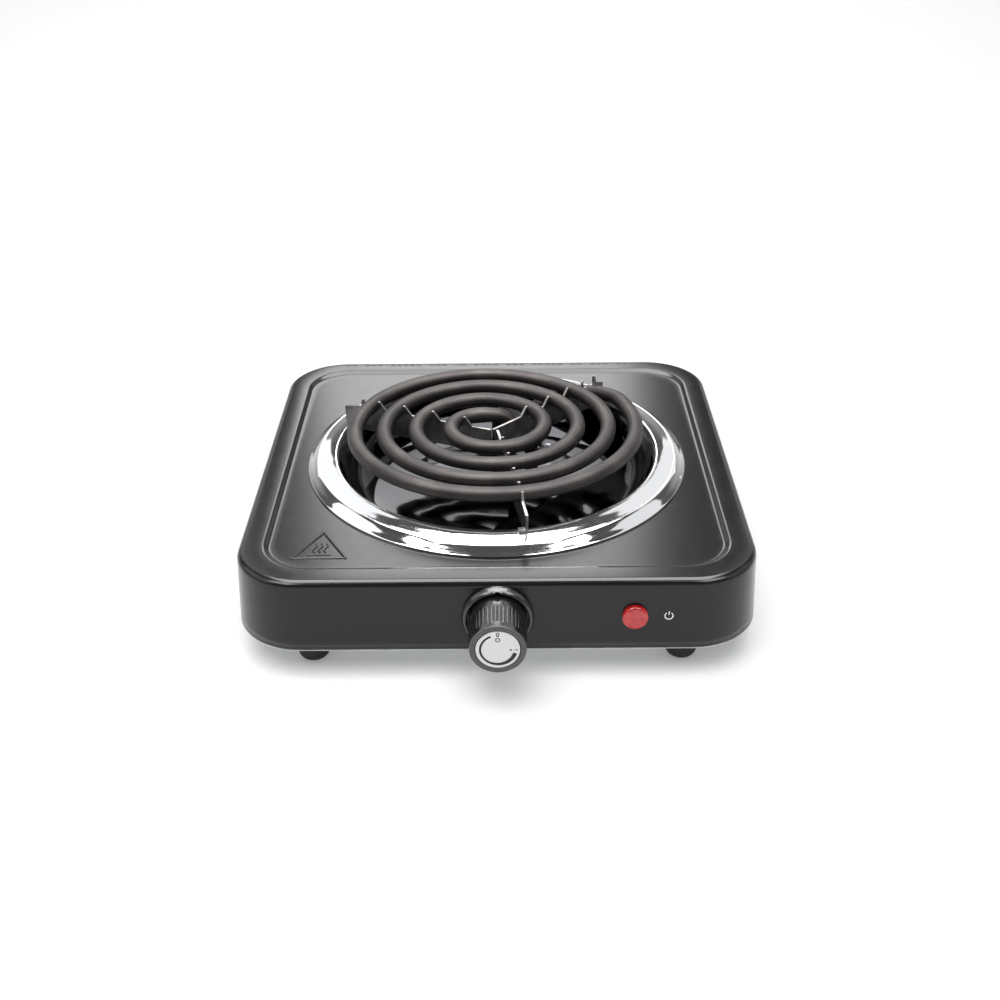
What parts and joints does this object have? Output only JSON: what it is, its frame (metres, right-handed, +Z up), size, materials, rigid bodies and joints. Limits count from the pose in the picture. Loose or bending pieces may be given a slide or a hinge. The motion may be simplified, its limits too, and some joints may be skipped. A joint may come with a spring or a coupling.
{
  "type": "electric hot plate with one coil burner",
  "caption": "Countertop electric hot plate: spiral heating coil over a chromed drip bowl in a square black steel body, with a dial thermostat and a pilot lamp.",
  "frame": {"origin": "on the floor plane under the middle of the bounding box, dial and cord gland included", "axes": "+Z up, -Y towards the front wall with the dial and lamp, +X to the right seen from the front"},
  "size_m": [0.2334, 0.2576, 0.069],
  "materials": {
    "body_paint": "satin black enamel",
    "plated_steel": "dull zinc plate",
    "foot_rubber": "matt black",
    "bowl_chrome": "mirror",
    "coil_sheath": "oxidised dark grey-brown satin",
    "support_steel": "bright stamped strip",
    "spring_steel": "plain",
    "ceramic": "unglazed steatite",
    "contact_brass": "plain",
    "knob_plastic": "glossy black",
    "dial_silver": "fine silver grey",
    "lens_red": "glossy translucent red",
    "bulb_glass": "clear",
    "gland_plastic": "matt black",
    "lead_sleeve": "woven glass sleeve"
  },
  "bodies": {
    "base": {"base_plate": "plated_steel", "bimetal_strip": "spring_steel", "body_shell": "body_paint", "bowl_clip_1": "spring_steel", "bowl_clip_2": "spring_steel", "bowl_clip_3": "spring_steel", "clamp_screw_1": "plated_steel", "clamp_screw_2": "plated_steel", "coil_clamp": "spring_steel", "coil_terminal_1": "contact_brass", "coil_terminal_2": "contact_brass", "contact_leaf": "contact_brass", "cord_gland": "gland_plastic", "corner_tab_front_left": "plated_steel", "corner_tab_front_right": "plated_steel", "corner_tab_rear_left": "plated_steel", "corner_tab_rear_right": "plated_steel", "drip_bowl": "bowl_chrome", "foot_front_left": "foot_rubber", "foot_front_right": "foot_rubber", "foot_rear_left": "foot_rubber", "foot_rear_right": "foot_rubber", "foot_screw_front_left": "plated_steel", "foot_screw_front_right": "plated_steel", "foot_screw_rear_left": "plated_steel", "foot_screw_rear_right": "plated_steel", "heating_coil": "coil_sheath", "knob_bezel": "knob_plastic", "lamp_bulb": "bulb_glass", "lamp_clip": "spring_steel", "lamp_lens": "lens_red", "lead_live": "lead_sleeve", "lead_return": "lead_sleeve", "lead_switched": "lead_sleeve", "shaft_nut": "plated_steel", "support_arm_front": "support_steel", "support_arm_left": "support_steel", "support_arm_right": "support_steel", "terminal_block": "ceramic", "thermostat_bracket": "plated_steel", "thermostat_stack": "ceramic"},
    "dial": {"knob": "knob_plastic", "dial_plate": "dial_silver", "thermostat_shaft": "plated_steel"},
    "feed_screw": {"adjusting_screw": "contact_brass"},
    "blade": {"contact_spring": "contact_brass"}
  },
  "joints": [
    {"name": "knob_turn", "type": "hinge", "parent": "base", "child": "dial", "pos_m": [0.0003, -0.10534, 0.0325], "axis": [0, 1, 0], "range_deg": [0, 262]},
    {"name": "screw_feed", "type": "slide", "parent": "dial", "child": "feed_screw", "axis": [0, 1, 0], "range_m": [0, 0.0007]},
    {"name": "contact_press", "type": "hinge", "parent": "base", "child": "blade", "pos_m": [-0.0147, -0.09199, 0.0325], "axis": [0, 0, 1], "range_deg": [0, 3]}
  ],
  "couplings": [
    {"joint": "screw_feed", "follows": "knob_turn", "m_per_rad": 0.00015293},
    {"joint": "contact_press", "follows": "knob_turn", "ratio": 0.011439}
  ]
}
